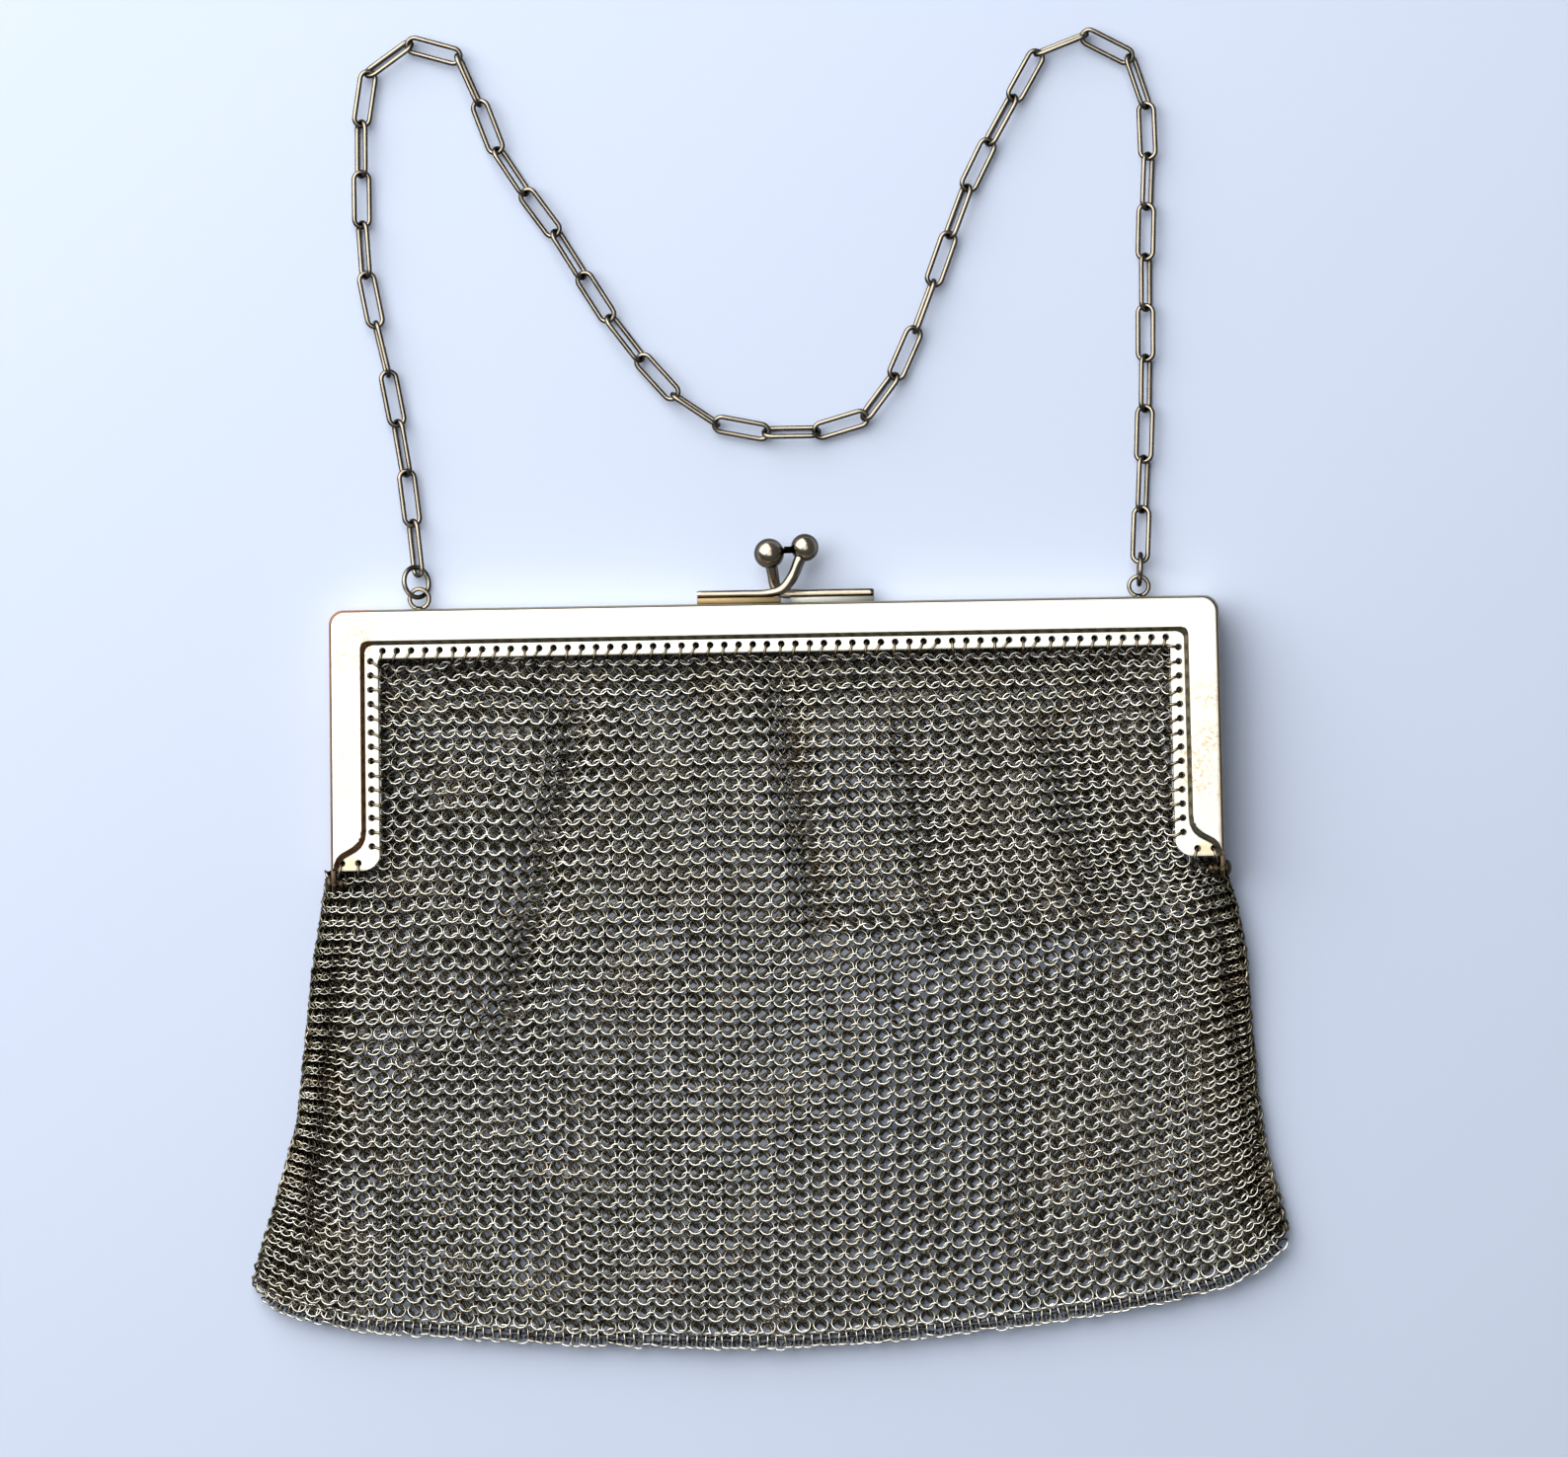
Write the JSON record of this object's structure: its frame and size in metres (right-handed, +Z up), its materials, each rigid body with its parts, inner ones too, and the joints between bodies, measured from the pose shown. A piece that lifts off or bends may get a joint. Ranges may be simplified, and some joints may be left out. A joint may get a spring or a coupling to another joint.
{
  "type": "metal mesh purse",
  "caption": "Metal ring-mesh purse with a stamped kiss-lock frame, ball clasp and long link chain, lying flat with the chain spread above it.",
  "frame": {"origin": "middle of the back frame half's flat face, under the middle of the frame's top band, on the surface that the purse lies on", "axes": "+X along the frame towards the right hinge, +Y from the bag towards the clasp and chain, +Z up out of the surface through the purse"},
  "size_m": [0.1783, 0.2274, 0.0095],
  "materials": {
    "frame_metal": "satin pale nickel silver with light golden tarnish",
    "clasp_metal": "polished grey nickel silver, brown in the recesses",
    "chain_metal": "worn grey-brown nickel silver wire",
    "mesh_metal": "satin nickel silver rings, tarnished between"
  },
  "bodies": {
    "root": {"frame_front": "frame_metal", "frame_back": "frame_metal", "hinge_rivet_left": "clasp_metal", "hinge_rivet_right": "clasp_metal", "clasp_arm_front": "clasp_metal", "clasp_arm_back": "clasp_metal", "mesh_bag": "mesh_metal", "chain": "chain_metal", "jump_ring_left": "chain_metal", "jump_ring_right": "chain_metal"}
  },
  "joints": []
}
